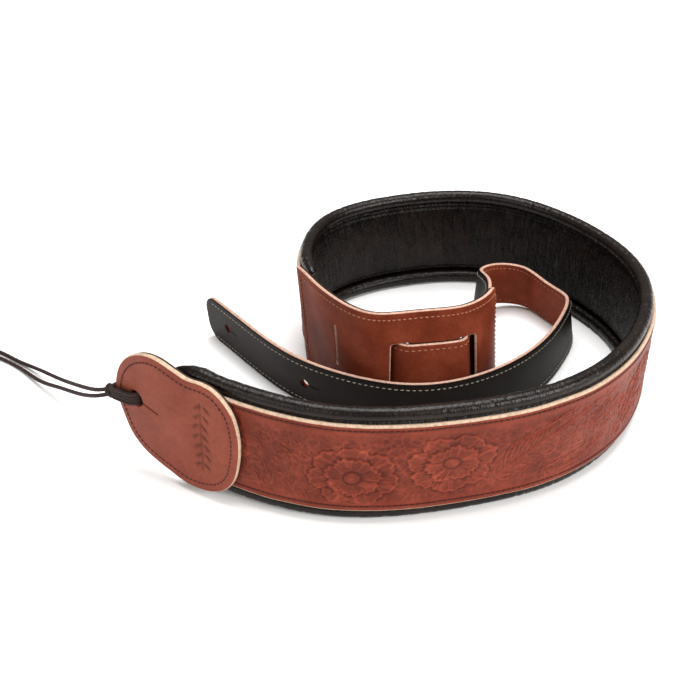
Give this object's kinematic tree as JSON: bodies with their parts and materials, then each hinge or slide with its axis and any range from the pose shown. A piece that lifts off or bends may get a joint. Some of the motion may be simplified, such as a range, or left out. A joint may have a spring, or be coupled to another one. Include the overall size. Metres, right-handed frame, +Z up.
{
  "type": "guitar strap",
  "caption": "Padded leather shoulder strap coiled on its long edge, with rolled edges, a pear-shaped end tab with a tied lace, and a slotted adjuster with a threaded tail strap.",
  "frame": {"origin": "middle of the coiled strap's footprint, without the lace, on the surface it stands on", "axes": "+Z up along the strap's width, +X along the coil's longest side, from the end tab towards the closed turn of the coil, +Y away from the side that shows the end tab"},
  "size_m": [0.4769, 0.2754, 0.084],
  "materials": {
    "tooled_leather": "satin",
    "tab_leather": "satin",
    "plain_leather": "satin",
    "black_leather": "satin",
    "foam": "matte",
    "red_thread": "matte",
    "grey_thread": "matte",
    "lace_cord": "matte"
  },
  "bodies": {
    "band": {"adjuster_anchor": "plain_leather", "adjuster_anchor_lining": "black_leather", "adjuster_anchor_stitching": "grey_thread", "inner_lining": "black_leather", "lower_roll": "black_leather", "lower_roll_core": "foam", "lower_stitching": "red_thread", "pad_core": "foam", "shoulder_panel": "tooled_leather", "tab_neck": "tab_leather", "tab_neck_lining": "black_leather", "tab_neck_stitching": "red_thread", "upper_roll": "black_leather", "upper_roll_core": "foam", "upper_stitching": "red_thread"},
    "tab_head": {"lace_hitch": "lace_cord", "tab_head": "tab_leather", "tab_head_lining": "black_leather", "tab_head_stitching": "red_thread"},
    "adjuster": {"adjuster_panel": "plain_leather", "adjuster_panel_lining": "black_leather", "adjuster_panel_stitching": "grey_thread", "tail_threaded": "plain_leather", "tail_threaded_lining": "black_leather", "tail_threaded_stitching": "grey_thread"},
    "tail": {"tail_free": "plain_leather", "tail_free_lining": "black_leather", "tail_free_stitching": "grey_thread"},
    "lace": {"lace_end_knot": "lace_cord", "lace_lower_strand": "lace_cord", "lace_upper_strand": "lace_cord"}
  },
  "joints": [
    {"name": "tab_flex", "type": "hinge", "parent": "band", "child": "tab_head", "pos_m": [-0.13064, -0.10013, 0.04362], "axis": [0, 0, 1], "range_deg": [-15, 15]},
    {"name": "adjuster_flex", "type": "hinge", "parent": "band", "child": "adjuster", "pos_m": [-0.05194, 0.00461, 0.03847], "axis": [0, 0, 1], "range_deg": [-12, 4]},
    {"name": "tail_flex", "type": "hinge", "parent": "adjuster", "child": "tail", "pos_m": [0.06086, 0.06762, 0.02692], "axis": [0, 0, 1], "range_deg": [0, 12]},
    {"name": "lace_swing", "type": "hinge", "parent": "tab_head", "child": "lace", "pos_m": [-0.168, -0.0743, 0.04515], "axis": [0, 0, 1], "range_deg": [-15, 15]}
  ]
}
